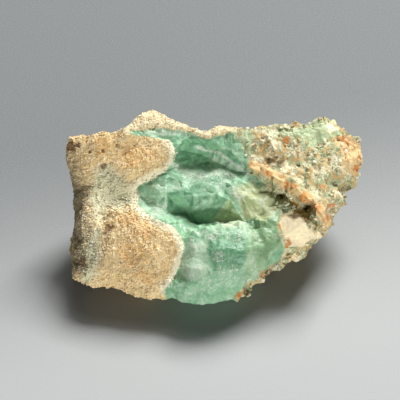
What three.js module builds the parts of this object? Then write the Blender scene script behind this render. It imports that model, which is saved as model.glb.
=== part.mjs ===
// A rough piece of green fluorite, about 74 mm long: a broken green crystal mass with a
// sandy quartz crust over its left end and a pitted, iron-stained matrix over its right end.
// Millimetres, +Z up. The stone lies on a small flat spot, and the origin is on the table
// under the middle of its bounding box. +X runs along the stone and +Y away from its front.
import * as THREE from "three";
import { ImprovedNoise } from "three/addons/math/ImprovedNoise.js";

// Driving dimensions
const GRID = 0.25; // one step of the grid that the seen points are given on
const VIEW_TILT = THREE.MathUtils.degToRad(40); // how far above the table the front is seen from
const OUTLINE_STEP = 1.6; // longest piece of the outline between two points
const OUTLINE_ROUGHNESS = 0.2; // how far such a piece's points stand out or in
const RIM_WIDTH = 1.3; // how far inside the outline the rounded rim ends on the hidden side
const RIM_DEPTH = 2; // and how far behind the outline
const EDGE = { fluorite: 1.8, calcite: 2.1, matrix: 2.1, crust: 2.8 }; // longest triangle edge
const HIDDEN_EDGE = 4.2; // the same on the hidden side
const SPLIT_PASSES = 60; // more than the splitting ever takes
const TURN_PASSES = 6; // how often thin triangles are evened out
const FLAT_ENOUGH = Math.cos(THREE.MathUtils.degToRad(24)); // two faces closer than this have no ridge
const CRUST_THICKNESS = 0.6; // how far the quartz crust stands proud of the fluorite
const BASE_HEIGHT = 0.35; // what lies lower than this is ground flat for the resting spot

// The outline of the stone as seen from the front, clockwise from the top left corner.
// Each point is [steps across, steps up, height above the table in mm].
const OUTLINE = [
  [-134, 59, 28.5], [-125, 64, 29.6], [-107, 65, 30.8], [-87, 68, 31.3], [-75, 69.5, 31.9],
  [-66, 78, 32.4], [-59, 85.5, 33], [-48, 89, 33], [-37, 86, 32.4], [-26, 78, 31.3],
  [-13, 73, 30.8], [0, 70, 30.8], [7, 67.5, 30.8], [12, 71, 30.8], [20, 73, 30.8],
  [37, 71, 30.8], [51, 71.5, 30.8], [64, 76, 30.8], [80, 75, 30.8], [100, 76, 30.2],
  [113, 78.5, 29.6], [126, 82, 29], [135, 80, 28.5], [140, 75, 28], [146, 69, 27.4],
  [155, 66, 26.3], [160, 62, 25.1], [160, 50, 22.9], [161.5, 37, 20.6], [159, 29, 19],
  [156, 20, 17.3], [154, 12, 16.1], [149, 9, 15.5], [146, -4, 12.8], [136, -14, 11],
  [133, -24, 10], [128, -31, 9.4], [119, -38, 8.8], [110, -49, 8.3], [101, -60, 7.7],
  [92, -62, 7.7], [83, -68, 7.1], [67, -79, 6.5], [55, -86, 6], [45, -95, 6],
  [32, -101, 6], [19, -101, 6], [3, -104, 6], [-10, -102.5, 6], [-24, -100, 6],
  [-39, -96, 6.5], [-55, -97.5, 6], [-67, -93.5, 6], [-81, -88, 6.5], [-98, -85.5, 6.5],
  [-110, -86, 6.6], [-118, -82, 6.5], [-125, -77, 6.5], [-127.5, -65, 6.6], [-129.5, -52, 7.5],
  [-128, -43, 8.5], [-124.5, -32, 10], [-123, -16, 12.5], [-127, 5, 15.6], [-130, 22, 19],
  [-132.5, 35, 22], [-134, 48, 26],
];

// The edge of the quartz crust where it ends on the fluorite, from the top down.
const CRUST_EDGE = [
  [-32, 59, 29], [-25, 51, 28], [-27, 38, 25.7], [-34, 29, 24], [-50, 20, 22],
  [-62, 14, 21.2], [-67, 5, 20.4], [-65, -6, 19.8], [-57, -14, 19.5], [-43, -20, 19.4],
  [-28, -26, 19], [-20, -36, 17.8], [-16, -47, 16.2], [-19, -62, 13.7], [-25, -76, 10.8],
  [-34, -88, 8.3],
];

// The iron-stained ridge that runs down across the matrix.
const RIDGE = [
  [53, 31, 25.7], [68, 26, 26.2], [83, 18, 26], [98, 10, 25.4], [111, -2, 23.7],
  [122, -15, 20.8], [125, -22, 17.8],
];

// The other points that shape the seen side, one list for each form.
const SEEN = {
  crustTop: [
    [-126, 50, 27.4], [-117, 32, 24.6], [-100, 42, 26.9], [-96, 30, 24], [-82, 48, 27.6],
    [-60, 52, 28], [-42, 54, 28.5], [-80, 35, 26.2], [-60, 35, 26], [-42, 40, 26.5],
    [-75, 20, 23],
  ],
  crustSaddle: [
    [-88, 5, 19.8], [-107, 15, 21.6], [-115, -5, 19.6], [-94, -12, 17.9], [-117, -28, 17],
    [-78, -6, 18.6],
  ],
  crustLobe: [
    [-78, -15, 19.8], [-67, -28, 18.9], [-45, -38, 18.2], [-82, -50, 15.4], [-52, -58, 15.2],
    [-40, -76, 11.2], [-68, -74, 11.4], [-92, -70, 11.6], [-110, -66, 12.2], [-116, -47, 14.8],
    [-100, -35, 16.4],
  ],
  shelf: [
    [-50, 67, 30.5], [-53, 61, 29.6], [-25, 68, 30.3], [-15, 61, 29.6], [5, 60, 29.4],
    [25, 53, 28.2], [38, 42, 26.5], [48, 29, 24.4],
  ],
  darkHollow: [
    [-19, 49, 24.8], [0, 46, 24], [20, 36, 23.4], [36, 26, 23.2], [-20, 34, 23.4],
    [0, 30, 23.2],
  ],
  whiteStep: [
    [-17, 22, 23.2], [5, 22, 23.4], [25, 19, 23.4], [43, 19, 23.4], [-10, 11, 22.8],
    [15, 6, 22.3],
  ],
  notchFacets: [
    [-48, 14, 22], [-35, 12, 22.3], [-60, 4, 20], [-37, -8, 19.6], [-52, -6, 18.9],
    [-34, 6, 21.6], [-7, 4, 21.8], [-6, -6, 19.5], [-30, -13, 18.2],
  ],
  deepHollow: [
    [-14, -14, 16.4], [-2, -22, 15.4], [10, -24, 15.9], [-10, -27, 16.4],
  ],
  pyramid: [
    [12, -7, 19.5], [30, 0, 21.6], [46, -24, 18.2], [30, -22, 16.4],
  ],
  yellowFacet: [
    [40, 6, 22.6], [62, 0, 21.8], [62, -14, 20], [53, -22, 19],
  ],
  lobeCrest: [
    [-12, -33, 18.3], [-1, -30, 19], [15, -29, 19.8], [32, -26, 19.8], [45, -30, 19.3],
    [59, -20, 20.2], [71, -22, 19.8], [78, -33, 18.2],
  ],
  lobe: [
    [-5, -50, 17.5], [20, -50, 18.7], [45, -50, 18.2], [65, -45, 17.5], [-10, -70, 14.4],
    [15, -72, 15], [40, -68, 14.8], [62, -60, 13.9], [79, -50, 13.4],
  ],
  lobeFoot: [
    [-28, -86, 10], [-15, -81, 12.3], [5, -84, 12], [25, -83, 12], [45, -77, 11.6],
    [62, -69, 10.3], [-15, -93, 8.6], [10, -94, 8.9], [30, -92, 8.9],
  ],
  matrixTop: [
    [55, 63, 30], [70, 59, 29.6], [90, 61, 29.9], [110, 66, 29.6], [128, 69, 28.5],
    [143, 60, 27], [63, 45, 27.1], [80, 40, 27.2], [100, 43, 27.7], [120, 45, 27.1],
    [140, 42, 24.9], [151, 37, 22.5], [90, 28, 26], [110, 20, 25.1], [130, 22, 23.2],
    [144, 20, 20.2], [118, 8, 22.6], [132, 2, 19.7],
  ],
  underRidge: [
    [62, 18, 22.9], [72, 8, 21.2], [85, 2, 20.6], [98, -6, 19.8], [110, -16, 17.9],
    [119, -27, 14.4],
  ],
  calciteBlock: [
    [80, -22, 19.3], [94, -12, 20.6], [105, -22, 19.3], [114, -33, 14.2], [105, -45, 11.6],
    [90, -46, 13.6], [84, -36, 16.1],
  ],
  lowerRight: [
    [76, -62, 9.7], [90, -54, 9.7], [56, -78, 8.6], [43, -88, 8.6],
  ],
};

// The hidden side, as [x, y, z] in mm from the table point under the middle of the view.
const HIDDEN = {
  shoulder: [
    [-28, -6, 24], [-20, -4, 24.5], [-12, 1, 25], [-4, -1.3, 23.8], [4, -2.5, 23.5],
    [12, -1, 22.8], [20, 0, 22.6], [28, 3, 21.8], [35, -1, 20],
  ],
  upperBack: [
    [-30, -9, 17], [-22, -2, 16.5], [-13, 1.6, 17], [-4, 2, 15.5], [5, 1.5, 16],
    [13, 3.5, 15.5], [22, 4, 16], [30, 4, 14.5], [36, -2.5, 13.5],
  ],
  lowerBack: [
    [-28, -12, 9], [-20, -5, 8], [-11, 0, 8.5], [-2, -1.5, 7.5], [7, 0, 8],
    [16, 0.5, 7.5], [25, -1, 8.5], [32, -7, 8.5],
  ],
  backFoot: [
    [-23, -14, 4], [-13, -8, 3], [-3, -7, 2], [8, -7.5, 2], [18, -9, 2.5],
    [26, -12, 4], [30, -17, 5.5],
  ],
  restingSpot: [
    [-17, -17, 0], [-19, -21, 0], [-19, -26, 0], [-17, -30, 0], [-13, -33.5, 0], [-6, -36, 0],
    [0, -36.5, 0], [6, -36, 0], [11, -33, 0], [14.5, -29, 0], [19, -25.5, 0], [20, -21, 0],
    [18, -16, 0], [14, -13.5, 0], [9, -12, 0], [1.5, -12, 0], [-6, -12.5, 0], [-12, -14.5, 0],
    [-12, -20, 0], [-4, -18, 0], [4, -18, 0], [12, -19, 0], [-12, -27, 0], [-4, -25, 0],
    [4, -25, 0], [12, -25, 0], [-6, -31, 0], [3, -31, 0],
  ],
  frontUndercut: [
    [-20, -36, 3], [-8, -40, 2.5], [3, -41.2, 2.2], [12, -37.5, 2.5], [20, -29.5, 3.5],
    [26, -23.5, 4.8],
  ],
  leftFlank: [
    [-29.5, -11, 13], [-29, -15, 9.5], [-28, -21, 6], [-27, -28, 4.4], [-26, -34, 3.8],
  ],
};

// Pits and vugs of the seen side: [steps across, steps up, radius in mm, depth in mm].
const PITS = [
  [107, -8, 2.2, 2.6], [80, 4, 2, 1.6], [92, -14, 1.2, 1], [118, 58, 1.2, 0.8],
  [74, 39, 2.6, 1.5], [100, 20, 1.4, 0.8], [138, 12, 1.8, 1], [69, -74, 1.9, 1.3],
  [50, -86, 1.5, 1], [60, 6, 1.5, 0.8], [-130, 56, 1, 0.6], [150, 47, 1.6, 0.8],
];

const noise = new ImprovedNoise();

// A point of the seen grid and its height, as a point in space.
function fromView([across, up, height]) {
  const lift = up * GRID - height * Math.cos(VIEW_TILT);
  return new THREE.Vector3(across * GRID, lift / Math.sin(VIEW_TILT), height);
}

// Where a point in space is seen, in mm across and up from the middle of the view.
function toView(point) {
  const up = point.y * Math.sin(VIEW_TILT) + point.z * Math.cos(VIEW_TILT);
  return new THREE.Vector2(point.x, up);
}

// Moves a point across and up in the view, and keeps its depth.
function shiftInView(point, { x, y }) {
  return point.add(new THREE.Vector3(x, y * Math.sin(VIEW_TILT), y * Math.cos(VIEW_TILT)));
}

// The same outline, a little rough, with no piece longer than OUTLINE_STEP.
function finerLoop(corners) {
  const loop = [];
  corners.forEach((corner, i) => {
    const next = corners[(i + 1) % corners.length];
    const along = toView(next).sub(toView(corner));
    const pieces = Math.ceil(along.length() / OUTLINE_STEP);
    const outward = new THREE.Vector2(-along.y, along.x).normalize();
    loop.push(corner);
    for (let k = 1; k < pieces; k++) {
      const point = corner.clone().lerp(next, k / pieces);
      const swell = OUTLINE_ROUGHNESS * (2 * hash(point, 7.7) - 1);
      loop.push(shiftInView(point, outward.clone().multiplyScalar(swell)));
    }
  });
  return loop;
}

function insideLoop(spot, loop) {
  let inside = false;
  loop.forEach((a, i) => {
    const b = loop[(i + 1) % loop.length];
    const crosses = a.y > spot.y !== b.y > spot.y;
    if (crosses && spot.x < ((b.x - a.x) * (spot.y - a.y)) / (b.y - a.y) + a.x) inside = !inside;
  });
  return inside;
}

// The centre and squared radius of the circle through three flat points.
function circleThrough(a, b, c) {
  const d = 2 * (a.x * (b.y - c.y) + b.x * (c.y - a.y) + c.x * (a.y - b.y));
  const [aa, bb, cc] = [a, b, c].map((p) => p.lengthSq());
  const x = (aa * (b.y - c.y) + bb * (c.y - a.y) + cc * (a.y - b.y)) / d;
  const y = (aa * (c.x - b.x) + bb * (a.x - c.x) + cc * (b.x - a.x)) / d;
  const centre = new THREE.Vector2(x, y);
  return { centre, reach: centre.distanceToSquared(a) };
}

// Delaunay triangles over flat points, counter-clockwise, as triples of indices.
function triangulate(spots) {
  const far = 1000;
  const corners = [[-far, -far], [far, -far], [0, far]].map(([x, y]) => new THREE.Vector2(x, y));
  const all = [...spots, ...corners];
  const first = spots.length;
  const made = (a, b, c) => ({ ids: [a, b, c], ...circleThrough(all[a], all[b], all[c]) });
  let triangles = [made(first, first + 1, first + 2)];
  spots.forEach((spot, id) => {
    const hit = triangles.filter((t) => t.centre.distanceToSquared(spot) < t.reach);
    const rim = new Map();
    hit.forEach(({ ids }) => {
      ids.forEach((a, k) => {
        const b = ids[(k + 1) % 3];
        if (rim.has(`${b},${a}`)) rim.delete(`${b},${a}`);
        else rim.set(`${a},${b}`, [a, b]);
      });
    });
    const fresh = [...rim.values()].map(([a, b]) => made(a, b, id));
    triangles = triangles.filter((t) => !hit.includes(t)).concat(fresh);
  });
  return triangles.map((t) => t.ids).filter((ids) => ids.every((i) => i < first));
}

// One side of the stone: the triangles over the outline and the points within it.
function sideOf(loop, inner, firstInner) {
  const seenLoop = loop.map(toView);
  const spots = [...seenLoop, ...inner.map(toView)];
  const middle = (ids) => ids.reduce((sum, i) => sum.add(spots[i]), new THREE.Vector2()).divideScalar(3);
  const kept = triangulate(spots).filter((ids) => insideLoop(middle(ids), seenLoop));
  const number = (i) => (i < loop.length ? i : i - loop.length + firstInner);
  return kept.map((ids) => ids.map(number));
}

// The rounded rim: a ring of points just inside the outline and a little farther back.
function rimOf(loop) {
  const spots = loop.map(toView);
  const ring = spots.map((spot, i) => {
    const along = spots[(i + 1) % spots.length].clone().sub(spots.at(i - 1)).normalize();
    const inward = new THREE.Vector2(along.y, -along.x).multiplyScalar(RIM_WIDTH);
    return { spot: spot.clone().add(inward), point: loop[i].clone(), inward };
  });
  const clear = ({ spot }) => {
    return insideLoop(spot, spots) && spots.every((s) => s.distanceTo(spot) > RIM_WIDTH * 0.9);
  };
  const away = new THREE.Vector3(0, Math.cos(VIEW_TILT), -Math.sin(VIEW_TILT));
  return ring.filter(clear).map(({ point, inward }) => {
    return shiftInView(point, inward).addScaledVector(away, RIM_DEPTH);
  });
}

// The coarse stone: a seen side and a hidden side that share the outline.
function coarseStone() {
  const loop = finerLoop(OUTLINE.map(fromView));
  const seen = [...CRUST_EDGE, ...RIDGE, ...Object.values(SEEN).flat()].map(fromView);
  const inner = Object.values(HIDDEN).flat();
  const hidden = [...rimOf(loop), ...inner.map((p) => new THREE.Vector3(...p))];
  const front = sideOf(loop, seen, loop.length);
  const back = sideOf(loop, hidden, loop.length + seen.length).map(([a, b, c]) => [a, c, b]);
  const points = [...loop, ...seen, ...hidden];
  const isSeen = points.map((_, i) => i < loop.length + seen.length);
  return { points, triangles: [...front, ...back], isSeen };
}

// Cuts the longest edges in half, pass after pass, until each is within its side's limit.
function refine(stone) {
  const { points, isSeen } = stone;
  const kinds = kindsOf(stone);
  const excess = (a, b) => {
    const length = points[a].distanceTo(points[b]);
    if (!isSeen[a] || !isSeen[b]) return length / HIDDEN_EDGE;
    const middle = points[a].clone().lerp(points[b], 0.5);
    return length / Math.min(EDGE[kinds[a]], EDGE[kinds[b]], EDGE[kindAt(middle, true)]);
  };
  const keyOf = (a, b) => (a < b ? `${a},${b}` : `${b},${a}`);
  const longestOf = (ids) => {
    const edges = ids.map((a, turn) => {
      const b = ids[(turn + 1) % 3];
      return { turn, key: keyOf(a, b), excess: excess(a, b) };
    });
    return edges.sort((e, f) => f.excess - e.excess || e.key.localeCompare(f.key))[0];
  };
  let split = true;
  for (let pass = 0; split && pass < SPLIT_PASSES; pass++) {
    const longest = stone.triangles.map(longestOf);
    const votes = new Map();
    longest.forEach((edge) => {
      if (edge.excess > 1) votes.set(edge.key, (votes.get(edge.key) ?? 0) + 1);
    });
    const middles = new Map();
    stone.triangles = stone.triangles.flatMap((ids, t) => {
      const { turn, key } = longest[t];
      if (votes.get(key) !== 2) return [ids];
      const [a, b, c] = [0, 1, 2].map((k) => ids[(k + turn) % 3]);
      if (!middles.has(key)) {
        middles.set(key, points.length);
        points.push(points[a].clone().add(points[b]).multiplyScalar(0.5));
        isSeen.push(isSeen[a] && isSeen[b]);
        kinds.push(kindAt(points.at(-1), isSeen.at(-1)));
      }
      const middle = middles.get(key);
      return [[a, middle, c], [middle, b, c]];
    });
    split = middles.size > 0;
  }
  for (let pass = 0; pass < TURN_PASSES; pass++) turnThinEdges(stone);
  return stone;
}

// Turns the shared edge of two thin triangles that lie nearly flat to each other.
function turnThinEdges({ points, triangles }) {
  const owners = new Map();
  triangles.forEach((ids, t) => ids.forEach((a, k) => owners.set(`${a},${ids[(k + 1) % 3]}`, [t, k])));
  const normal = (a, b, c) => {
    const ab = points[b].clone().sub(points[a]);
    return ab.cross(points[c].clone().sub(points[a])).normalize();
  };
  const angle = (tip, a, b) => {
    return points[a].clone().sub(points[tip]).angleTo(points[b].clone().sub(points[tip]));
  };
  const turned = new Set();
  triangles.forEach((ids, t) => {
    for (let k = 0; k < 3 && !turned.has(t); k++) {
      const [a, b, c] = [ids[k], ids[(k + 1) % 3], ids[(k + 2) % 3]];
      const [other, spin] = owners.get(`${b},${a}`);
      const d = triangles[other][(spin + 2) % 3];
      if (turned.has(other) || owners.has(`${c},${d}`) || owners.has(`${d},${c}`)) continue;
      if (angle(c, a, b) + angle(d, a, b) < Math.PI * 1.01) continue;
      const was = [normal(a, b, c), normal(b, a, d)];
      const will = [normal(a, d, c), normal(d, b, c)];
      if (was[0].dot(was[1]) < FLAT_ENOUGH || will[0].dot(will[1]) < FLAT_ENOUGH) continue;
      if (was[0].dot(will[0]) < FLAT_ENOUGH) continue;
      triangles[t] = [a, d, c];
      triangles[other] = [d, b, c];
      turned.add(t).add(other);
      owners.set(`${c},${d}`, [t, 0]);
    }
  });
}

function neighboursOf({ points, triangles }) {
  const near = points.map(() => new Set());
  triangles.forEach((ids) => {
    ids.forEach((a, k) => {
      near[a].add(ids[(k + 1) % 3]);
      near[ids[(k + 1) % 3]].add(a);
    });
  });
  return near.map((set) => [...set]);
}

function normalsOf({ points, triangles }) {
  const normals = points.map(() => new THREE.Vector3());
  triangles.forEach(([a, b, c]) => {
    const ab = points[b].clone().sub(points[a]);
    const face = ab.cross(points[c].clone().sub(points[a]));
    [a, b, c].forEach((i) => normals[i].add(face));
  });
  return normals.map((n) => n.normalize());
}

// Areas of the surface, as closed loops in the view
const flat = (steps) => steps.map(([across, up]) => new THREE.Vector2(across, up).multiplyScalar(GRID));
const CRUST_AREA = flat([...CRUST_EDGE, [-34, -120], [-170, -120], [-170, 69], [-75, 69]]);
const TOP_CRUST_AREA = flat([
  [-78, 66], [-55, 73], [-38, 73], [-12, 68], [8, 61], [26, 64], [40, 70], [40, 110], [-78, 110],
]);
const MATRIX_AREA = flat([
  [45, 110], [44, 68], [50, 40], [49, 30], [62, 16], [70, 6], [77, -8], [79, -33],
  [84, -46], [80, -58], [62, -72], [46, -84], [34, -97], [60, -130], [200, -130], [200, 110],
]);
const CALCITE_AREA = flat([
  [78, -24], [84, -14], [95, -9], [106, -18], [118, -34], [104, -49], [88, -50], [82, -38],
]);

const HIDDEN_CRUST_END = -13; // on the hidden side the crust ends here, in mm along X
const HIDDEN_MATRIX_START = 9; // and the matrix starts here

// What the stone's surface is made of at a point: crust, matrix, calcite or fluorite.
function kindAt(point, seen) {
  const spot = toView(point);
  if (!seen) {
    const edge = 3 * noise.noise(point.y / 6, point.z / 6, 0.5);
    if (point.x < HIDDEN_CRUST_END + edge) return "crust";
    return point.x > HIDDEN_MATRIX_START + edge ? "matrix" : "fluorite";
  }
  if (insideLoop(spot, CRUST_AREA) || insideLoop(spot, TOP_CRUST_AREA)) return "crust";
  if (insideLoop(spot, CALCITE_AREA)) return "calcite";
  return insideLoop(spot, MATRIX_AREA) ? "matrix" : "fluorite";
}

function kindsOf({ points, isSeen }) {
  return points.map((point, i) => kindAt(point, isSeen[i]));
}

const HIDDEN_ROUNDS = 6; // the hidden side is worn round
const HIDDEN_RELIEF = 0.7; // and its relief is lower

// Rounds the crust, whose mounds are soft, and leaves the broken faces sharp.
function soften(stone, kinds) {
  const rounds = { crust: 2, calcite: 1, matrix: 0, fluorite: 0 };
  const near = neighboursOf(stone);
  for (let round = 0; round < HIDDEN_ROUNDS; round++) {
    const moved = stone.points.map((point, i) => {
      const wanted = stone.isSeen[i] ? rounds[kinds[i]] : HIDDEN_ROUNDS;
      if (round >= wanted || point.z === 0) return point;
      const mean = near[i]
        .reduce((sum, k) => sum.add(stone.points[k]), new THREE.Vector3())
        .divideScalar(near[i].length);
      return point.clone().lerp(mean, 0.4);
    });
    stone.points = moved;
  }
}

// Broken crystal: small flat chips, each tilted its own way, with steps between them.
function chips(point, size) {
  const cell = point.clone().divideScalar(size).floor();
  let nearest = Infinity;
  let level = 0;
  for (let i = -1; i < 2; i++)
    for (let j = -1; j < 2; j++)
      for (let k = -1; k < 2; k++) {
        const corner = new THREE.Vector3(cell.x + i, cell.y + j, cell.z + k);
        const shift = [11.3, 27.1, 43.7].map((s) => hash(corner, s));
        const site = corner.add(new THREE.Vector3(...shift)).multiplyScalar(size);
        const gap = point.distanceTo(site);
        if (gap < nearest) {
          nearest = gap;
          const lean = [3.1, 5.7, 9.2].map((s) => hash(corner, s) - 0.5);
          level = point.clone().sub(site).dot(new THREE.Vector3(...lean)) + (hash(corner, 1.9) - 0.5) * size;
        }
      }
  return level / size;
}

// An even pseudo-random number from 0 to 1 for a point and a salt.
function hash({ x, y, z }, salt) {
  const mixed = Math.sin(x * 12.9898 + y * 78.233 + z * 37.719 + salt * 4.581) * 43758.5453;
  return mixed - Math.floor(mixed);
}

function layered(point, size) {
  const at = (s) => noise.noise(point.x / s + 7, point.y / s + 3, point.z / s + 5);
  return at(size) + 0.5 * at(size / 2) + 0.25 * at(size / 4);
}

// How far the surface stands out or falls in, in mm, for each kind of surface.
const RELIEF = {
  crust: (p) => CRUST_THICKNESS + 0.6 * layered(p, 5),
  calcite: (p) => 0.25 * layered(p, 4),
  matrix: (p) => 0.9 * layered(p, 5) + 0.7 * chips(p, 2.8),
  fluorite: (p) => 0.7 * chips(p, 4.5) + 0.2 * chips(p, 2),
};

function pitDepth(point) {
  const spot = toView(point);
  return PITS.reduce((deepest, [across, up, radius, depth]) => {
    const share = spot.distanceTo(new THREE.Vector2(across * GRID, up * GRID)) / radius;
    return Math.max(deepest, share < 1 ? depth * (1 - share ** 4) : 0);
  }, 0);
}

function roughen(stone, kinds) {
  const normals = normalsOf(stone);
  stone.points = stone.points.map((point, i) => {
    if (point.z === 0) return point;
    const sunk = stone.isSeen[i] ? pitDepth(point) : 0;
    const relief = RELIEF[kinds[i]](point) * (stone.isSeen[i] ? 1 : HIDDEN_RELIEF);
    const moved = point.clone().addScaledVector(normals[i], relief - sunk);
    if (moved.z < BASE_HEIGHT) moved.z = 0;
    return moved;
  });
}

function geometryOf({ points, triangles }) {
  const geometry = new THREE.BufferGeometry().setFromPoints(points);
  geometry.setIndex(triangles.flat());
  geometry.computeBoundingBox();
  const { min, max } = geometry.boundingBox;
  geometry.translate(-(min.x + max.x) / 2, -(min.y + max.y) / 2, -min.z);
  geometry.computeVertexNormals();
  return geometry;
}

function buildStone() {
  const stone = refine(coarseStone());
  const kinds = kindsOf(stone);
  soften(stone, kinds);
  roughen(stone, kinds);
  return geometryOf(stone);
}

const fluorite = new THREE.Mesh(
  buildStone(),
  new THREE.MeshStandardMaterial({ color: 0x8fbf98, roughness: 0.45, metalness: 0 }),
);
fluorite.name = "rough_fluorite";

const specimen = new THREE.Group();
specimen.add(fluorite);

export default specimen;
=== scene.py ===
import math

import bmesh
import bpy
import numpy as np
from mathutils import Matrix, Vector, noise


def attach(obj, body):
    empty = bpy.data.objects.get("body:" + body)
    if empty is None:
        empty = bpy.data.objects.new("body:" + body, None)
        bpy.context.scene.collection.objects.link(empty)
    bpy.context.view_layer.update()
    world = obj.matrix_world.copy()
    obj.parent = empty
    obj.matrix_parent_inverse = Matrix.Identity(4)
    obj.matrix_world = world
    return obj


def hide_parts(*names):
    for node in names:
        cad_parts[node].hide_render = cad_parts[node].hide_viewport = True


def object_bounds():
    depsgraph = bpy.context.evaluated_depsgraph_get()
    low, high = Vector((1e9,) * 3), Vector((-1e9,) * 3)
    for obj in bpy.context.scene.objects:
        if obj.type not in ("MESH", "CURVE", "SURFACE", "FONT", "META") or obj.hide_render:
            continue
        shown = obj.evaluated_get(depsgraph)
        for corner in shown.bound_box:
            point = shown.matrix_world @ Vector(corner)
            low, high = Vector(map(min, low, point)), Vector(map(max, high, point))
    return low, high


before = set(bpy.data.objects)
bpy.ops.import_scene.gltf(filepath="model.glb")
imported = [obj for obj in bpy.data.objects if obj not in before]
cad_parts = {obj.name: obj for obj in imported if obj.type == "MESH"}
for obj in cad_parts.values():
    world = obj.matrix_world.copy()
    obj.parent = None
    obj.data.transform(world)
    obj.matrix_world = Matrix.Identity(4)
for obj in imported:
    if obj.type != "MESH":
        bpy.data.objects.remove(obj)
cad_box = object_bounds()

# The view of the photograph. A spot of the stone is named by the steps of a quarter of a
# millimetre that it lies across and up from the middle of that view.
MM = 0.001
GRID = 0.25 * MM
VIEW_TILT = math.radians(40)
VIEW_ON_TABLE = Vector((-3.581, 22.333, 0)) * MM  # where the middle of the view meets the table
TOWARDS_VIEWER = Vector((0, -math.cos(VIEW_TILT), math.sin(VIEW_TILT)))
UP_IN_VIEW = Vector((0, math.sin(VIEW_TILT), math.cos(VIEW_TILT)))
FRAME_WIDTH = 0.1  # what the square picture takes in, at the stone
CAMERA_DISTANCE = 2.5
STONE_DEPTH = 0.022  # how far the middle of the stone stands in front of that table point

SEED = 7
noise.seed_set(SEED)  # else the clock seeds the noise vectors, which lean the chips

# Soft lamps that look at the stone: (name, place, width, height, watts)
LAMPS = [
    ("window", (0.35, 0.75, 0.92), 0.5, 0.5, 26),
    ("ceiling", (0.1, 0.6, 1), 0.6, 0.6, 2.5),
    ("low_card", (0.25, -1, 0.07), 0.8, 0.08, 9),
]
ROOM_COLOUR = (0.9, 0.96, 1, 1)
ROOM_STRENGTH = 0.05
FLOOR_REACH = 3


# Camera, floor and lights

def make_camera():
    data = bpy.data.cameras.new("camera")
    camera = bpy.data.objects.new("camera", data)
    bpy.context.scene.collection.objects.link(camera)
    camera.location = VIEW_ON_TABLE + TOWARDS_VIEWER * (CAMERA_DISTANCE + STONE_DEPTH)
    camera.rotation_euler = (math.pi / 2 - VIEW_TILT, 0, 0)
    data.angle = 2 * math.atan(FRAME_WIDTH / 2 / CAMERA_DISTANCE)
    data.clip_start = 0.05
    bpy.context.scene.camera = camera


def make_floor():
    reach = FLOOR_REACH
    corners = [(-reach, -reach, 0), (reach, -reach, 0), (reach, reach, 0), (-reach, reach, 0)]
    mesh = bpy.data.meshes.new("floor")
    mesh.from_pydata(corners, [], [(0, 1, 2, 3)])
    floor = bpy.data.objects.new("floor", mesh)
    bpy.context.scene.collection.objects.link(floor)
    mesh.materials.append(floor_finish())


def make_lamp(name, place, width, height, power):
    """A lamp that looks at the stone."""
    data = bpy.data.lights.new(name, "AREA")
    data.shape = "RECTANGLE"
    data.size = width
    data.size_y = height
    data.energy = power
    lamp = bpy.data.objects.new(name, data)
    bpy.context.scene.collection.objects.link(lamp)
    lamp.location = place
    lamp.rotation_euler = (-Vector(place)).to_track_quat("-Z", "Y").to_euler()


def make_lights():
    for lamp in LAMPS:
        make_lamp(*lamp)
    world = bpy.data.worlds.new("room")
    world.use_nodes = True
    room = world.node_tree.nodes["Background"]
    room.inputs["Color"].default_value = ROOM_COLOUR
    room.inputs["Strength"].default_value = ROOM_STRENGTH
    bpy.context.scene.world = world
    bpy.context.scene.view_settings.view_transform = "Standard"


# Nodes and shader maths

MIX_UNDER = 6  # the Mix node's sockets for colours
MIX_OVER = 7
MIX_COLOUR = 2


def feed(tree, socket, value):
    """Links a socket or a Value to this socket, or gives it a plain value."""
    if isinstance(value, Value):
        value = value.socket
    if isinstance(value, bpy.types.NodeSocket):
        tree.links.new(value, socket)
    elif isinstance(value, tuple) and len(value) == 3 and len(socket.default_value) == 4:
        socket.default_value = (*value, 1)
    else:
        socket.default_value = value


def add_node(tree, kind, settings=None, values=None):
    """A node of this type, with its settings made first and its sockets fed after them."""
    made = tree.nodes.new(kind)
    for key, setting in (settings or {}).items():
        setattr(made, key, setting)
    for key, value in (values or {}).items():
        feed(tree, made.inputs[key], value)
    return made


class Value:
    """A value in a material. Arithmetic on it adds the Math nodes."""

    def __init__(self, sheet, socket):
        self.sheet = sheet
        self.socket = socket

    def maths(self, operation, *terms):
        return self.sheet.maths(operation, *terms)

    def __add__(self, other):
        return self.maths("ADD", self, other)

    def __radd__(self, other):
        return self.maths("ADD", other, self)

    def __sub__(self, other):
        return self.maths("SUBTRACT", self, other)

    def __rsub__(self, other):
        return self.maths("SUBTRACT", other, self)

    def __mul__(self, other):
        return self.maths("MULTIPLY", self, other)

    def __rmul__(self, other):
        return self.maths("MULTIPLY", other, self)

    def largest(self, other):
        return self.maths("MAXIMUM", self, other)


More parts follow.
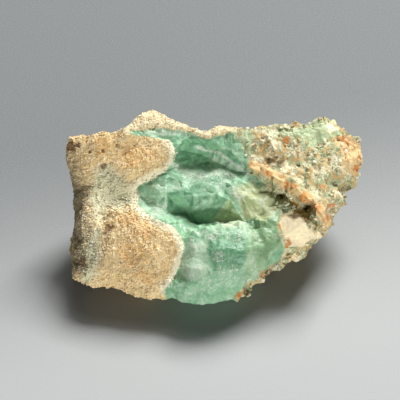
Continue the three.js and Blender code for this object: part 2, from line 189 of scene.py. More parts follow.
class Sheet:
    """The node sheet of one material."""

    def __init__(self, name):
        self.material = bpy.data.materials.new(name)
        self.material.use_nodes = True
        self.tree = self.material.node_tree
        self.tree.nodes.clear()
        metres = self.node("ShaderNodeTexCoord").outputs["Object"]
        place = self.node("ShaderNodeVectorMath", {"operation": "SCALE"}, {0: metres, "Scale": 1 / MM})
        self.place = place.outputs[0]

    def node(self, kind, settings=None, values=None):
        return add_node(self.tree, kind, settings, values)

    def maths(self, operation, *terms):
        made = self.node("ShaderNodeMath", {"operation": operation}, dict(enumerate(terms)))
        return Value(self, made.outputs[0])

    def attribute(self, name):
        made = self.node("ShaderNodeAttribute", {"attribute_name": name})
        return Value(self, made.outputs["Fac"])

    def along(self, axis):
        """Millimetres along x, y or z."""
        split = self.node("ShaderNodeSeparateXYZ", {}, {0: self.place})
        return Value(self, split.outputs[axis])

    def step(self, value, low, high):
        """Rises smoothly from 0 at low to 1 at high."""
        made = self.node("ShaderNodeMapRange", {"interpolation_type": "SMOOTHSTEP"},
                         {"Value": value, "From Min": low, "From Max": high})
        return Value(self, made.outputs["Result"])

    def cloud(self, size, detail, shift=0.0):
        """Soft noise from 0 to 1, whose forms are about this many millimetres wide."""
        place = self.place
        if shift:
            place = self.node("ShaderNodeVectorMath", {"operation": "ADD"},
                              {0: place, 1: (shift, shift / 2, shift / 3)}).outputs[0]
        made = self.node("ShaderNodeTexNoise", {}, {"Vector": place, "Scale": 1 / size, "Detail": detail})
        return Value(self, made.outputs["Fac"])

    def grains(self, size):
        """Cells of about this many millimetres, each with one tone from 0 to 1."""
        made = self.node("ShaderNodeTexVoronoi", {"feature": "F1"},
                         {"Vector": self.place, "Scale": 1 / size})
        split = self.node("ShaderNodeSeparateColor", {}, {"Color": made.outputs["Color"]})
        return Value(self, split.outputs[0])

    def blend(self, under, over, share):
        """One colour laid over another."""
        made = self.node("ShaderNodeMix", {"data_type": "RGBA"},
                         {"Factor": share, MIX_UNDER: under, MIX_OVER: over})
        return made.outputs[MIX_COLOUR]

    def bump(self, height, distance, strength):
        made = self.node("ShaderNodeBump", {},
                         {"Height": height, "Distance": distance, "Strength": strength})
        return made.outputs["Normal"]

    def finish(self, surface):
        self.node("ShaderNodeOutputMaterial", {}, {"Surface": surface})
        return self.material


def linear(red, green, blue):
    """A colour as seen on a screen, from 0 to 255, as the linear colour that materials use."""
    return tuple((c / 255) ** 2.2 for c in (red, green, blue))


# Finishes

FLUORITE_IOR = 1.434
QUARTZ_IOR = 1.54


def floor_finish():
    """Pale grey with a fine grain, with a painted falloff of light: darker towards the far side, lighter
    towards the near side and a little to the right.
    """
    far_painted_shade_grey = linear(105, 109, 109)
    near_painted_light_grey = linear(166, 168, 167)
    white = linear(238, 240, 240)
    sheet = Sheet("pale_floor")
    # Painted light: the grey darkens away from the viewer and brightens towards the near right, as a lamp's
    # falloff would.
    painted_light_falloff = 0.25 * sheet.along("X") - sheet.along("Y")
    colour = sheet.blend(far_painted_shade_grey, near_painted_light_grey, sheet.step(painted_light_falloff, -60, 45))
    colour = sheet.blend(colour, white, sheet.step(sheet.cloud(0.35, 2), 0.45, 0.75) * 0.08)
    surface = sheet.node("ShaderNodeBsdfPrincipled", {}, {"Base Color": colour, "Roughness": 0.7})
    return sheet.finish(surface.outputs[0])


def crystal_colour(sheet):
    """Green fluorite: deep in its hollows, mint where it is thin or crushed, white along veins."""
    mint = linear(190, 220, 186)
    green = linear(142, 192, 150)
    deep = linear(88, 146, 106)
    olive = linear(190, 208, 148)
    yellow = linear(188, 192, 136)
    milk = linear(232, 238, 220)
    mottle = sheet.cloud(2.6, 5) - 0.5
    fine = sheet.cloud(0.7, 5, 4) - 0.5
    cleaved = sheet.grains(1.7) - 0.5
    depth = sheet.attribute("depth") + 0.9 * mottle + 0.7 * fine + 0.3 * cleaved
    colour = sheet.blend(mint, green, sheet.step(depth, 0, 0.5))
    colour = sheet.blend(colour, deep, sheet.step(depth, 0.45, 1))
    colour = sheet.blend(colour, olive, sheet.attribute("olive") * 0.75)
    colour = sheet.blend(colour, yellow, sheet.attribute("yellow") * 0.8)
    sugar = sheet.cloud(0.3, 3, 8) - 0.5
    crushed = 0.9 * sheet.attribute("white") + 2 * fine + 2 * sugar + mottle
    return sheet.blend(colour, milk, sheet.step(crushed, 0.3, 1.1) * 0.85)


def crust_colour(sheet):
    """Sandy druse: tan to peach, greenish in its hollows, with brown specks that are partly painted shade
    in its pits, and a grey painted shade over its left plane.
    """
    tan = linear(220, 190, 134)
    sand = linear(238, 214, 164)
    peach = linear(228, 184, 118)
    moss = linear(222, 217, 180)
    painted_shade_grey = linear(138, 136, 112)
    brown = linear(120, 78, 44)
    cream = linear(238, 232, 202)
    soft = sheet.cloud(3.5, 5) - 0.5
    fine = sheet.cloud(0.6, 4, 5) - 0.5
    colour = sheet.blend(tan, sand, sheet.step(sheet.grains(0.5) + fine, 0.2, 0.9))
    colour = sheet.blend(colour, peach, sheet.step(soft + 0.6 * sheet.attribute("peach"), 0.1, 0.7) * 0.7)
    colour = sheet.blend(colour, moss, sheet.step(sheet.attribute("recess") + soft + fine, 0.1, 0.9))
    # Painted shade: a grey laid over the crust's left plane and the undercut below it.
    colour = sheet.blend(colour, painted_shade_grey, sheet.attribute("shaded") * 0.45)
    colour = sheet.blend(colour, cream, sheet.step(sheet.attribute("rim") + fine, 0.1, 0.9) * 0.9)
    # Brown specks, which on the pits are partly painted shade.
    specks = sheet.step(0.8 * sheet.attribute("brown") + 1.2 * fine + 0.6 * soft, 0.46, 0.7)
    return sheet.blend(colour, brown, specks * 0.75)


def matrix_colour(sheet):
    """Mottled rock: grey-green, cream and tan, with peach and rust along its ridge, and brown dirt that in
    its pits is partly painted shade.
    """
    sage = linear(150, 160, 120)
    cream = linear(226, 216, 180)
    tan = linear(202, 172, 118)
    mint = linear(178, 196, 154)
    peach = linear(230, 196, 142)
    rust = linear(206, 128, 58)
    brown = linear(88, 64, 36)
    milk = linear(250, 234, 192)
    mottle = sheet.cloud(3.6, 5, 2) - 0.5
    blotch = sheet.cloud(2.1, 5, 7) - 0.5
    fine = sheet.cloud(0.45, 4, 11) - 0.5
    colour = sheet.blend(sage, cream, sheet.step(mottle + fine, -0.1, 0.12))
    colour = sheet.blend(colour, tan, sheet.step(blotch + 0.5 * fine, -0.02, 0.1))
    green = sheet.step(sheet.attribute("mint") + 2 * mottle + 2 * blotch, 0.35, 1)
    colour = sheet.blend(colour, mint, green * 0.8)
    colour = sheet.blend(colour, peach, sheet.step(sheet.attribute("peach") + 2 * mottle + fine, 0.3, 0.7))
    colour = sheet.blend(colour, milk, sheet.step(sheet.attribute("calcite") + blotch, 0.35, 0.7))
    rusted = sheet.step(sheet.attribute("rust") + 3 * blotch + fine, 0.5, 1.1)
    colour = sheet.blend(colour, rust, rusted * 0.85)
    # Brown dirt, which on the pits is partly painted shade.
    dirt_and_pit_shade = 0.8 * sheet.attribute("brown") + 2.4 * fine + blotch
    return sheet.blend(colour, brown, sheet.step(dirt_and_pit_shade, 0.5, 0.85) * 0.85)


def stone_finish():
    """Translucent green crystal, with opaque crust and matrix grown over it."""
    sheet = Sheet("fluorite_crust_and_matrix")
    crust = sheet.attribute("crust")
    matrix = sheet.attribute("matrix")
    skin = sheet.blend(matrix_colour(sheet), crust_colour(sheet), crust)
    sugar = sheet.step(sheet.attribute("white") + sheet.cloud(2.5, 4, 8), 0.5, 1.3)
    facets = sheet.grains(0.8)
    crystal = sheet.node("ShaderNodeBsdfPrincipled", {"subsurface_method": "RANDOM_WALK"}, {
        "Base Color": crystal_colour(sheet),
        "Roughness": 0.4 + 0.35 * sugar,
        "Normal": sheet.bump(facets + 0.5 * sheet.cloud(0.5, 4), 0.08 * MM, 0.6),
        "IOR": FLUORITE_IOR,
        "Transmission Weight": 0.18,
        "Subsurface Weight": 0.3,
        "Subsurface Radius": (0.5, 1.0, 0.7),
        "Subsurface Scale": 2.5 * MM,
    })
    rock = sheet.node("ShaderNodeBsdfPrincipled", {}, {
        "Base Color": skin,
        "Roughness": 0.72 + 0.2 * sheet.cloud(1, 3),
        "Normal": sheet.bump(sheet.grains(0.4) + sheet.cloud(0.35, 4), 0.16 * MM, 0.8),
    })
    cover = crust.largest(matrix)
    both = sheet.node("ShaderNodeMixShader", {}, {0: cover, 1: crystal.outputs[0], 2: rock.outputs[0]})
    return sheet.finish(both.outputs[0])


def druse_finish():
    """The crust's own small quartz crystals, each a little lighter or darker."""
    pale = linear(248, 240, 222)
    brown = linear(120, 88, 52)
    sheet = Sheet("druse_grains")
    tone = sheet.attribute("tone")
    colour = sheet.blend(crust_colour(sheet), pale, sheet.step(tone, 0.55, 1) * 0.45)
    colour = sheet.blend(colour, brown, sheet.step(1 - tone, 0.8, 1) * 0.55)
    surface = sheet.node("ShaderNodeBsdfPrincipled", {}, {
        "Base Color": colour,
        "Roughness": 0.45 + 0.3 * tone,
        "IOR": QUARTZ_IOR,
    })
    return sheet.finish(surface.outputs[0])


def rock_grain_finish():
    """Angular bits of the rock: cream, white and tan, with a few dark ones."""
    cream = linear(240, 232, 205)
    tan = linear(198, 148, 92)
    dark = linear(104, 92, 62)
    sheet = Sheet("rock_grains")
    tone = sheet.attribute("tone")
    colour = sheet.blend(matrix_colour(sheet), cream, sheet.step(tone, 0.6, 0.75) * 0.6)
    colour = sheet.blend(colour, tan, sheet.step(1 - tone, 0.72, 0.82) * 0.5)
    colour = sheet.blend(colour, dark, sheet.step(1 - tone, 0.88, 0.96) * 0.6)
    surface = sheet.node("ShaderNodeBsdfPrincipled", {}, {
        "Base Color": colour,
        "Roughness": 0.6 + 0.3 * tone,
    })
    return sheet.finish(surface.outputs[0])


# The areas of the seen side, in grid steps across and up
CRUST_EDGE = [
    (-32, 59), (-25, 51), (-27, 38), (-34, 29), (-50, 20), (-62, 14), (-63, 5), (-61, -6),
    (-54, -13), (-43, -20), (-28, -26), (-20, -36), (-16, -47), (-19, -62), (-25, -76), (-34, -88),
]
CRUST = CRUST_EDGE + [(-34, -140), (-190, -140), (-190, 110), (-75, 110), (-75, 68), (-58, 64)]
CRUST_ON_TOP = [
    (-80, 66), (-57, 70), (-38, 72), (-12, 68), (8, 61), (26, 66), (40, 70), (40, 120), (-80, 120),
]
# Painted shade: the crust's left plane and the undercut below it, darkened in colour.
PAINTED_SHADE_AREA = [
    (-150, 60), (-128, 44), (-119, 24), (-112, 0), (-106, -24), (-93, -42), (-97, -66), (-150, -76),
]
RECESS = [
    (-106, 30), (-90, 34), (-68, 18), (-62, 2), (-72, -8), (-92, -10), (-100, -34), (-104, -78),
    (-118, -84), (-116, -50), (-104, -24), (-112, 2),
]
MATRIX = [
    (34, 120), (34, 66), (40, 54), (47, 40), (49, 30), (62, 16), (70, 6), (77, -8), (79, -33), (84, -46),
    (80, -58), (62, -72), (46, -84), (34, -97), (60, -140), (220, -140), (220, 120),
]
CALCITE = [
    (80, -22), (84, -14), (95, -11), (104, -20), (114, -36), (104, -46), (88, -48), (83, -36),
]
RIDGE = [(52, 34), (68, 27), (83, 18), (98, 8), (111, -2), (122, -12), (127, -22)]

# How deep the green is in each area of the crystal, from 0, mint, to 1, dark: (depth, area)
DEPTHS = [
    (0, [(-60, 72), (-40, 75), (-15, 70), (5, 65), (15, 62), (-30, 63), (-50, 63)]),
    (0.6, [(-37, 63), (-15, 66), (5, 63), (22, 54), (36, 46), (43, 36), (36, 37), (22, 48), (-20, 57)]),
    (0.5, [(-28, 57), (-5, 57), (8, 50), (14, 46), (12, 36), (0, 30), (-15, 33), (-28, 42)]),
    (0.05, [(14, 46), (30, 38), (48, 26), (32, 25), (15, 27), (10, 36)]),
    (0.6, [(-32, 28), (-12, 28), (15, 26), (34, 24), (44, 10), (22, 10), (-10, 12), (-14, 20),
           (-34, 20)]),
    (0.25, [(-62, 8), (-54, 15), (-38, 17), (-34, 10), (-36, -8), (-48, 0)]),
    (0.2, [(-61, 2), (-50, -1), (-38, -8), (-38, -18), (-52, -12)]),
    (0.65, [(-33, 8), (-20, 10), (-7, 7), (-8, -8), (-18, -16), (-34, -13)]),
    (0.4, [(-22, -10), (-6, -8), (8, -14), (6, -28), (-10, -31), (-20, -22)]),
    (0.1, [(10, -22), (29, 1), (46, -24), (28, -27)]),
    (0.15, [(32, 10), (52, 16), (72, 6), (76, -16), (62, -22), (46, -20), (38, -6)]),
    (0.1, [(-20, -46), (6, -42), (10, -70), (-2, -80), (-16, -76), (-22, -60)]),
    (0.72, [(10, -34), (45, -34), (50, -50), (40, -68), (14, -70), (8, -50)]),
    (0.85, [(50, -18), (72, -12), (80, -40), (66, -60), (52, -52)]),
    (0.4, [(-40, -82), (0, -84), (40, -82), (50, -90), (40, -110), (-40, -110)]),
]
PLAIN_DEPTH = 0.4
SUGARED = [
    [(-60, 72), (-40, 75), (-15, 70), (5, 65), (15, 62), (-30, 63), (-50, 63)],
    [(-20, -40), (6, -36), (12, -62), (2, -78), (-14, -76), (-21, -60)],
    [(-34, 30), (-12, 30), (15, 27), (36, 24), (44, 10), (22, 10), (-10, 14), (-14, 20)],
    [(14, -34), (32, -25), (52, -30), (48, -42), (20, -44)],
    [(12, -62), (36, -60), (40, -74), (20, -80), (4, -78)],
    [(-42, -2), (-34, -6), (-26, -20), (-40, -18)],
]
LOBE = [
    (-16, -40), (0, -32), (14, -28), (32, -26), (58, -28), (76, -36), (76, -48), (60, -68), (44, -80),
    (0, -84), (-26, -80), (-18, -60),
]
LOBE_ROUNDS = 24  # how often the lobe's corners move halfway to their neighbours' middle
LOBE_CREST = [(-18, -30), (0, -27), (20, -24), (45, -25), (64, -22)]
PYRAMID = [(10, -22), (29, 1), (46, -24), (28, -27)]
YELLOW_ZONE = [(32, 10), (52, 18), (72, 12), (78, 0), (76, -18), (62, -22), (46, -20), (38, -6)]
RIGHT_FLANK = [(50, -18), (74, -12), (82, -42), (64, -68), (46, -84), (46, -50)]
MINT_ROCK = [
    [(30, 68), (50, 70), (55, 50), (48, 40), (40, 40), (28, 52)],
    [(73, 65), (80, 74), (92, 72), (98, 65), (85, 61)],
    [(96, 72), (125, 82), (145, 68), (125, 58), (105, 50), (96, 60)],
    [(64, 12), (80, 4), (92, -6), (88, -16), (76, -14)],
]
PEACH_ROCK = [(136, 60), (148, 67), (160, 58), (164, 40), (155, 22), (145, 35)]

# Pale cracks and crushed seams in the crystal: (width in steps, strength, line)
VEINS = [
    (1.5, 1, [(-4, 53), (7, 49), (20, 47), (30, 39), (40, 32), (48, 27)]),
    (1.3, 0.7, [(22, 53), (32, 50), (40, 40), (43, 34)]),
    (1.2, 0.8, [(-34, 20), (-34, -12)]),
    (4, 0.8, [(-28, 35), (-15, 30), (0, 24), (15, 27), (32, 24)]),
    (4, 0.8, [(25, 20), (33, 10), (40, 4)]),
    (4, 0.7, [(13, -37), (20, -26), (32, -23), (45, -26), (52, -35)]),
    (2, 0.7, [(-10, -30), (5, -32), (13, -40)]),
    (6, 0.5, [(-20, -62), (-10, -75), (5, -81), (25, -80), (40, -72)]),
    (1.5, 0.7, [(-60, 5), (-50, 0), (-37, -7)]),
    (4, 0.6, [(50, -55), (53, -68), (55, -75), (45, -82)]),
    (1.2, 0.5, [(29, 0), (13, -22)]),
    (1.2, 0.5, [(32, -2), (46, -24)]),
    (1.5, 0.5, [(-35, -83), (-15, -85), (0, -90), (20, -84)]),
]

# Smaller spots of the seen side: (steps across, steps up, radius in steps)
PEACH_SPOTS = [
    (-72, -18, 14), (-58, -30, 14), (-96, 54, 14), (-70, 44, 14), (-52, 42, 10), (-66, -52, 18),
    (-56, -74, 14),
]
# Brown specks and stains; the spots that sit on the pits are partly painted shade inside them.
BROWN_SPECKS_AND_PIT_SHADE = [
    (-129, 54, 8), (-122, 55, 3), (-110, 48, 2.5), (-97, 49, 2.5), (-83, 55, 2.5), (-92, -28, 7),
    (-117, -62, 8), (-97, 34, 4), (69, -72, 6), (46, -92, 5), (80, 3, 4),
    (107, -8, 6), (158, 60, 3.5), (148, 12, 4), (72, 49, 4), (136, 30, 2.5),
]
RUST_SPOTS = [
    (86, 60, 7), (58, -12, 4), (79, -26, 4), (88, -42, 6), (145, 58, 7), (155, 30, 6), (120, 16, 6),
    (68, 26, 5), (86, 15, 5), (104, 2, 7), (130, -6, 5), (62, -74, 6), (40, -94, 5), (108, -18, 5),
]
WHITE_SPOTS = [
    (-8, -42, 7), (18, -56, 9), (-2, -66, 8), (38, -38, 8), (-42, -10, 8), (36, 16, 6), (75, -38, 4),
    (74, 39, 6), (84, 34, 6), (4, 18, 7), (-14, 24, 6), (-24, 12, 6), (62, 0, 7), (-20, 62, 5),
    (-32, 44, 4),
]
MILKY_SPOTS = [(74, 39, 6), (84, 34, 6), (116, -36, 6), (132, 74, 8), (100, 20, 5), (96, -58, 5)]

# Pits of the seen side: (steps across, steps up, radius in steps, depth in millimetres)
PITS = [
    (107, -8, 5.5, 2.6), (80, 3, 4, 1.2), (84, 13, 2.2, 0.5), (82, -11, 2, 0.6), (72, 47, 3.2, 0.7),
    (158, 60, 2.5, 0.4), (148, 12, 3.2, 0.6), (-124, 55, 2, 0.5), (-110, 48, 1.8, 0.5), (-97, 49, 1.8, 0.5),
    (69, -72, 4, 0.9), (46, -91, 3.5, 0.6), (117, 24, 2.5, 0.6), (98, 34, 2.2, 0.6), (128, 46, 2, 0.5),
]

# Where the crust ends and the rock begins on the hidden sides, in millimetres from left to right
CRUST_FADES = (-16, -14)
ROCK_GROWS = (8, 11)


# The surface of a mesh, and where it lies in the view

LEAN_SPREAD = 7.31  # any number that takes neighbouring chips to unlike leans
LEAN_SHIFT = Vector((3.7, 1.9, 8.3))


def smooth(value, low, high):
    """Rises smoothly from 0 at low to 1 at high."""
    share = np.clip((value - low) / (high - low), 0, 1)
    return share * share * (3 - 2 * share)


def in_view(points):
    """How many grid steps points in metres lie across and up in the view."""
    held = points - np.array(VIEW_ON_TABLE)
    return held[:, 0] / GRID, held @ np.array(UP_IN_VIEW) / GRID


def inside(across, up, area):
    """Which points of the view lie inside an area."""
    found = np.zeros(len(across), dtype=bool)
    for (ax, ay), (bx, by) in zip(area, area[1:] + area[:1]):
        if ay != by:
            crosses = (ay > up) != (by > up)
            found ^= crosses & (across < (bx - ax) * (up - ay) / (by - ay) + ax)
    return found


def corners_of(mesh):
    """The corners of a mesh in metres, one in each row."""
    points = np.empty(len(mesh.vertices) * 3)
    mesh.vertices.foreach_get("co", points)
    return points.reshape(-1, 3)


def move_corners(mesh, points):
    """Puts the corners of a mesh at these points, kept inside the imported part's box."""
    low, high = (np.array(corner) for corner in cad_box)
    mesh.vertices.foreach_set("co", np.clip(points, low, high).ravel())
    mesh.update()


class Surface:
    """The corners of a mesh, as arrays in metres and in grid steps of the view."""

    def __init__(self, mesh):
        self.points = corners_of(mesh)
        normals = np.empty(self.points.size)
        mesh.vertex_normals.foreach_get("vector", normals)
        self.normals = normals.reshape(-1, 3)
        self.across, self.up = in_view(self.points)
        self.facing = self.normals @ np.array(TOWARDS_VIEWER)
        self.seen = smooth(self.facing, -0.35, -0.05)

    def front_and_back(self, front, back):
        """One value on the seen side and another on the hidden sides."""
        return self.seen * front + (1 - self.seen) * back

    def noise(self, size, shift=0.0):
        """Smooth noise, about -1 to 1, with forms this many millimetres wide."""
        spread = self.points / (size * MM) + shift
        return np.array([noise.noise(Vector(p)) for p in spread])

    def chips(self, size):
        """Small flat faces, each tilted its own way, about -1 to 1."""
        spread = self.points / (size * MM)
        level = np.empty(len(spread))
        for i, p in enumerate(spread):
            near = noise.voronoi(Vector(p))[1][0]
            lean = noise.noise_vector(near * LEAN_SPREAD + LEAN_SHIFT)
            level[i] = (Vector(p) - near).dot(lean)
        return level

    def away_from(self, line, closed=False):
        """Distance in grid steps to a line of the view."""
        ends = line[1:] + line[:1] if closed else line[1:]
        best = np.full(len(self.across), 1e9)
        for (ax, ay), (bx, by) in zip(line, ends):
            along = np.array([bx - ax, by - ay], dtype=float)
            part = ((self.across - ax) * along[0] + (self.up - ay) * along[1]) / (along @ along)
            part = np.clip(part, 0, 1)
            gap = np.hypot(self.across - ax - part * along[0], self.up - ay - part * along[1])
            best = np.minimum(best, gap)
        return best

    def within(self, area, soft, wobble=0.0):
        """1 inside an area of the view and 0 outside, with an edge that the wobble roughens."""
        gap = self.away_from(area, closed=True)
        signed = np.where(inside(self.across, self.up, area), gap, -gap)
        return smooth(signed + wobble, -soft, soft)

    def within_any(self, areas, soft, wobble):
        return np.maximum.reduce([self.within(area, soft, wobble) for area in areas])

    def spots(self, spots, ragged):
        """1 in the middle of each spot, falling off to a ragged edge."""
        best = np.zeros(len(self.across))
        for across, up, radius in spots:
            gap = np.hypot(self.across - across, self.up - up) / radius + ragged
            best = np.maximum(best, 1 - smooth(gap, 0.3, 1.3))
        return best

    def seams(self, seams, ragged):
        """1 along each pale seam."""
        best = np.zeros(len(self.across))
        for width, strength, line in seams:
            gap = self.away_from(line) / width + ragged
            best = np.maximum(best, strength * (1 - smooth(gap, 0.4, 1.8)))
        return best


# The stone

MERGE_WITHIN = 0.002 * MM
CUTS = 2  # how often every edge is halved
ON_TABLE = 0.01 * MM  # corners lower than this stay where the table touches them


def stone_mesh():
    """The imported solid, merged and cut finer, with its lower lobe rounded."""
    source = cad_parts["rough_fluorite"]
    work = bmesh.new()
    work.from_mesh(source.data)
    bmesh.ops.remove_doubles(work, verts=work.verts, dist=MERGE_WITHIN)
    for _ in range(CUTS):
        bmesh.ops.subdivide_edges(work, edges=work.edges, cuts=1, use_grid_fill=True)
    bmesh.ops.triangulate(work, faces=work.faces)
    on_lobe = inside(*in_view(np.array([corner.co for corner in work.verts])), LOBE)
    lobe = [corner for corner, chosen in zip(work.verts, on_lobe)
            if chosen and corner.normal.dot(TOWARDS_VIEWER) > 0]
    for _ in range(LOBE_ROUNDS):
        bmesh.ops.smooth_vert(
            work, verts=lobe, factor=0.5, use_axis_x=True, use_axis_y=True, use_axis_z=True)
    mesh = bpy.data.meshes.new("rough_fluorite_skin")
    work.to_mesh(mesh)
    work.free()
    return mesh


def crystal_areas(surface, wobble, ragged):
    """The green's depth and its paler, whiter and yellower parts, by the name of the attribute."""
    depth = np.full(len(wobble), PLAIN_DEPTH)
    for level, area in DEPTHS:
        share = surface.within(area, 1.5, wobble * 0.4)
        depth += share * (level - depth)
    flank = surface.within(RIGHT_FLANK, 6, wobble)
    sugar = surface.within_any(SUGARED, 5, wobble)
    spots = surface.spots(WHITE_SPOTS, ragged)
    seams = surface.seams(VEINS, ragged)
    return {
        "depth": surface.front_and_back(depth, PLAIN_DEPTH),
        "olive": surface.within(PYRAMID, 2, wobble * 0.5) * surface.seen,
        "yellow": np.maximum(surface.within(YELLOW_ZONE, 4, wobble), 0.35 * flank) * surface.seen,
        "white": np.maximum.reduce([0.7 * spots, seams, 0.5 * sugar]) * surface.seen,
    }


def cover_areas(surface, wobble, ragged):
    """Where crust, rock and their grains cover the crystal, by the name of the attribute."""
    ends = surface.points[:, 0] / MM + 7 * surface.noise(11, 3) + 4 * surface.noise(3, 6)
    hidden_crust = 1 - smooth(ends, *CRUST_FADES)
    hidden_rock = smooth(ends, *ROCK_GROWS)
    seen_crust = surface.within_any([CRUST, CRUST_ON_TOP], 1.2, wobble * 0.5)
    seen_rock = surface.within(MATRIX, 1.5, wobble) * (1 - seen_crust)
    crust = surface.front_and_back(seen_crust, hidden_crust)
    ridge = 1 - smooth(surface.away_from(RIDGE) + wobble, 2, 8)
    block = surface.within(CALCITE, 1.5, wobble * 0.5)
    calcite = np.maximum(block, surface.spots(MILKY_SPOTS, ragged)) * surface.seen
    peach = np.maximum(surface.spots(PEACH_SPOTS, ragged), surface.within(PEACH_ROCK, 3, wobble))
    gravel = surface.front_and_back(seen_rock * (1 - calcite) * (1 - ridge), 0.6 * hidden_rock)
    off_table = smooth(surface.points[:, 2] / MM, 0.4, 0.9)
    return {
        "crust": crust,
        "matrix": surface.front_and_back(seen_rock, hidden_rock),
        "druse": crust * off_table,
        "gravel": gravel * off_table,
        "calcite": calcite,
        "peach": np.maximum(peach, ridge) * surface.seen,
        "rust": np.maximum(surface.spots(RUST_SPOTS, ragged), 0.5 * ridge) * surface.seen,
    }


def tint_areas(surface, wobble, ragged):
    """The tints of the crust and the rock, with painted shade on the crust's left plane and partly in the
    pits, by the name of the attribute.
    """
    rim = 1 - smooth(surface.away_from(CRUST_EDGE) + wobble, 1, 11)
    tints = {
        "rim": np.maximum(rim, 0.5 * surface.within(CRUST_ON_TOP, 3)),
        "recess": surface.within(RECESS, 12, wobble),
        # Painted shade over the crust's left plane and the undercut below it.
        "shaded": surface.within(PAINTED_SHADE_AREA, 10, wobble),
        # Brown specks, on the pits partly painted shade.
        "brown": surface.spots(BROWN_SPECKS_AND_PIT_SHADE, ragged),
        "mint": surface.within_any(MINT_ROCK, 3, wobble),
    }
    return {name: values * surface.seen for name, values in tints.items()}


def areas_of(surface):
    """How much of each finish every corner has, by the name of the attribute."""
    wobble = 3 * surface.noise(2.2) + 1.5 * surface.noise(0.9, 5)
    ragged = 0.5 * surface.noise(1.3, 7) + 0.3 * surface.noise(0.6, 2)
    areas = {}
    for kind in (crystal_areas, cover_areas, tint_areas):
        areas.update(kind(surface, wobble, ragged))
    return areas


def relief_of(surface, areas):
    """How far each corner stands out, in millimetres: lumps, chips and grains."""
    crust = 0.22 * surface.noise(1.5, 2) + 0.12 * surface.noise(0.7, 6)
    calm = 1 - 0.6 * np.maximum(areas["calcite"], areas["rust"])
    rock = 0.4 * calm * surface.chips(1.7) + 0.25 * surface.noise(1, 4) + 0.15 * surface.noise(2.5, 9)
    crystal = (0.16 * surface.chips(1.9) + 0.08 * surface.chips(0.9) + 0.35 * surface.noise(3.2, 11)
               + 0.1 * surface.noise(0.9, 13))
    cover = np.maximum(areas["crust"], areas["matrix"])
    return (areas["crust"] * crust + areas["matrix"] * rock + (1 - cover) * crystal
            + 0.25 * areas["rim"] * areas["crust"] - 0.3 * areas["crust"] * areas["brown"])


def sink_pits(surface, points):
    """Presses the pits in, away from the viewer."""
    for across, up, radius, depth in PITS:
        gap = np.hypot(surface.across - across, surface.up - up) / radius
        press = (1 - smooth(gap, 0.55, 1.1)) * (surface.facing > 0) * depth * MM
        points -= press[:, None] * np.array(TOWARDS_VIEWER)


def rough_crest(surface, points):
    """Breaks the lobe's upper edge, which would otherwise be one straight line."""
    near = (1 - smooth(surface.away_from(LOBE_CREST), 3, 12)) * surface.seen
    rise = 0.8 * surface.noise(2.6, 15) + 0.35 * surface.noise(1.1, 17)
    points += (near * rise * MM)[:, None] * np.array(UP_IN_VIEW)


def make_stone():
    mesh = stone_mesh()
    surface = Surface(mesh)
    areas = areas_of(surface)
    lift = relief_of(surface, areas) * MM
    lift[surface.points[:, 2] < ON_TABLE] = 0
    points = surface.points + lift[:, None] * surface.normals
    rough_crest(surface, points)
    sink_pits(surface, points)
    move_corners(mesh, points)
    for name, values in areas.items():
        layer = mesh.attributes.new(name, "FLOAT", "POINT")
        layer.data.foreach_set("value", values.astype(np.float32))
    stone = bpy.data.objects.new("stone", mesh)
    bpy.context.scene.collection.objects.link(stone)
    mesh.materials.append(stone_finish())
    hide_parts("rough_fluorite")
    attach(stone, "root")
    return stone


# The small crystals of the crust and the angular grains of the rock

GRAIN_INPUTS = {
    "Area": "NodeSocketString",
    "Grains per square metre": "NodeSocketFloat",
    "Grain size": "NodeSocketFloat",
    "Flattest": "NodeSocketFloat",
    "Finish": "NodeSocketMaterial",
}
NARROWEST = 0.45  # the least width of a grain, as a share of its size
TALLEST = 1.4


def scattered_points(tree, given):
    """Points over the area, each with a tone of its own."""
    cover = add_node(tree, "GeometryNodeInputNamedAttribute", {"data_type": "FLOAT"},
                     {"Name": given["Area"]})
    density = add_node(tree, "ShaderNodeMath", {"operation": "MULTIPLY"},
                       {0: cover.outputs["Attribute"], 1: given["Grains per square metre"]})
    spread = add_node(tree, "GeometryNodeDistributePointsOnFaces", {},
                      {"Mesh": given["Geometry"], "Density": density.outputs[0], "Seed": SEED})
    tone = add_node(tree, "FunctionNodeRandomValue", {"data_type": "FLOAT"}, {"Seed": SEED + 1})
    store = add_node(tree, "GeometryNodeStoreNamedAttribute", {"data_type": "FLOAT"}, {
        "Geometry": spread.outputs["Points"],
        "Name": "tone",
        "Value": tone.outputs[1],
    })
    return store.outputs["Geometry"]


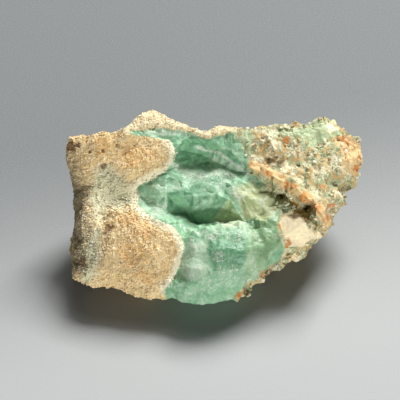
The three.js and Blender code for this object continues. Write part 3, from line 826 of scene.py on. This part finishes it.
def grain_tree():
    """Scatters small blocky crystals over one area of a mesh, half sunk into it."""
    tree = bpy.data.node_groups.new("scattered_grains", "GeometryNodeTree")
    tree.interface.new_socket("Geometry", in_out="INPUT", socket_type="NodeSocketGeometry")
    for name, kind in GRAIN_INPUTS.items():
        tree.interface.new_socket(name, in_out="INPUT", socket_type=kind)
    tree.interface.new_socket("Geometry", in_out="OUTPUT", socket_type="NodeSocketGeometry")
    given = add_node(tree, "NodeGroupInput").outputs
    block = add_node(tree, "GeometryNodeMeshCube", {}, {"Size": given["Grain size"]})
    turn = add_node(tree, "FunctionNodeRandomValue", {"data_type": "FLOAT_VECTOR"},
                    {"Max": (math.tau, math.tau, math.tau), "Seed": SEED + 2})
    least = add_node(tree, "ShaderNodeCombineXYZ", {},
                     {"X": NARROWEST, "Y": NARROWEST, "Z": given["Flattest"]})
    stretch = add_node(tree, "FunctionNodeRandomValue", {"data_type": "FLOAT_VECTOR"},
                       {"Min": least.outputs[0], "Max": (1.0, 1.0, TALLEST), "Seed": SEED + 3})
    placed = add_node(tree, "GeometryNodeInstanceOnPoints", {}, {
        "Points": scattered_points(tree, given),
        "Instance": block.outputs["Mesh"],
        "Rotation": turn.outputs["Value"],
        "Scale": stretch.outputs["Value"],
    })
    real = add_node(tree, "GeometryNodeRealizeInstances", {}, {"Geometry": placed.outputs["Instances"]})
    coated = add_node(tree, "GeometryNodeSetMaterial", {},
                      {"Geometry": real.outputs["Geometry"], "Material": given["Finish"]})
    add_node(tree, "NodeGroupOutput", {}, {"Geometry": coated.outputs["Geometry"]})
    return tree


def make_grains(stone, tree, name, inputs):
    """The scattered crystals of one area, turned into a plain mesh."""
    holder = bpy.data.objects.new(name + "_holder", stone.data.copy())
    bpy.context.scene.collection.objects.link(holder)
    modifier = holder.modifiers.new(name, "NODES")
    modifier.node_group = tree
    for socket in tree.interface.items_tree:
        if socket.name in inputs:
            modifier[socket.identifier] = inputs[socket.name]
    made = holder.evaluated_get(bpy.context.evaluated_depsgraph_get())
    mesh = bpy.data.meshes.new_from_object(made)
    bpy.data.objects.remove(holder)
    move_corners(mesh, corners_of(mesh))
    grains = bpy.data.objects.new(name, mesh)
    bpy.context.scene.collection.objects.link(grains)
    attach(grains, "root")


make_camera()
make_floor()
make_lights()
stone = make_stone()
grains = grain_tree()
make_grains(stone, grains, "druse", {
    "Area": "druse",
    "Grains per square metre": 2.8e6,
    "Grain size": 0.4 * MM,
    "Flattest": 0.5,
    "Finish": druse_finish(),
})
make_grains(stone, grains, "rock_grains", {
    "Area": "gravel",
    "Grains per square metre": 0.2e6,
    "Grain size": 0.9 * MM,
    "Flattest": 0.2,
    "Finish": rock_grain_finish(),
})
